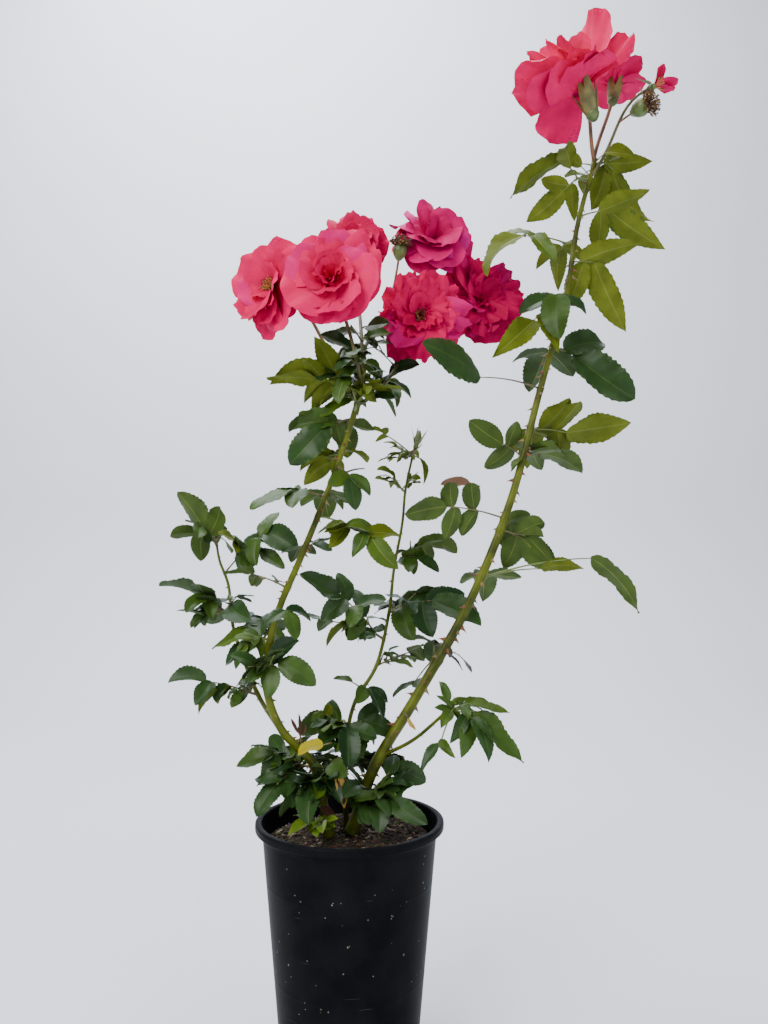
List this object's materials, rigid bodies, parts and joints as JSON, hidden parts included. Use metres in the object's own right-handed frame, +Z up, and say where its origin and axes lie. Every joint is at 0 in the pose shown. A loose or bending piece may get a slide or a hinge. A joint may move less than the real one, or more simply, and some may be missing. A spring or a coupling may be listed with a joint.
{
  "type": "potted rose bush",
  "caption": "Rose bush in a round black nursery pot, with tall arching canes, compound leaves on short shoots and open coral-pink blooms at the cane ends.",
  "frame": {"origin": "centre of the pot's flat underside", "axes": "+Z up, -Y towards the front of the plant, +X to the right seen from the front"},
  "size_m": [0.6128, 0.2557, 1.1779],
  "materials": {
    "petal": "soft satin petals, coral pink with paler reverses",
    "leaf": "semi-gloss leaf, paler and matt underneath",
    "cane": "smooth green bark with reddish thorns",
    "pot": "moulded satin black",
    "soil": "moist composted bark"
  },
  "bodies": {
    "root": {"bloom_left_front": "petal", "bloom_left_outer": "petal", "bloom_left_right": "petal", "bloom_left_back": "petal", "bloom_left_high": "petal", "bloom_left_far": "petal", "bloom_top_main": "petal", "bloom_top_back": "petal", "bloom_top_faded": "petal", "leaves_right_tip": "leaf", "leaves_right_1": "leaf", "leaves_right_2": "leaf", "leaves_right_3": "leaf", "leaves_right_4": "leaf", "leaves_right_5": "leaf", "leaves_right_6": "leaf", "leaves_right_7": "leaf", "leaves_right_8": "leaf", "leaves_right_9": "leaf", "leaves_right_10": "leaf", "leaves_right_11": "leaf", "leaves_right_12": "leaf", "leaves_right_13": "leaf", "leaves_left_tip": "leaf", "leaves_left_front": "leaf", "leaves_left_1": "leaf", "leaves_left_2": "leaf", "leaves_left_3": "leaf", "leaves_left_4": "leaf", "leaves_left_5": "leaf", "leaves_left_6": "leaf", "leaves_left_7": "leaf", "leaves_left_8": "leaf", "leaves_left_9": "leaf", "leaves_left_10": "leaf", "leaves_thin_1": "leaf", "leaves_thin_2": "leaf", "leaves_thin_3": "leaf", "leaves_thin_tip": "leaf", "leaves_middle_tip": "leaf", "leaves_middle_1": "leaf", "leaves_middle_2": "leaf", "leaves_middle_3": "leaf", "leaves_middle_4": "leaf", "leaves_middle_5": "leaf", "leaves_middle_6": "leaf", "leaves_low": "leaf", "foot_middle": "leaf", "foot_left": "leaf", "foot_left_front": "leaf", "foot_right_front": "leaf", "foot_new": "leaf", "foot_back": "leaf", "cane_right": "cane", "cane_left": "cane", "cane_middle": "cane", "cane_thin": "cane", "branch_low": "cane", "pot": "pot", "soil": "soil"}
  },
  "joints": []
}
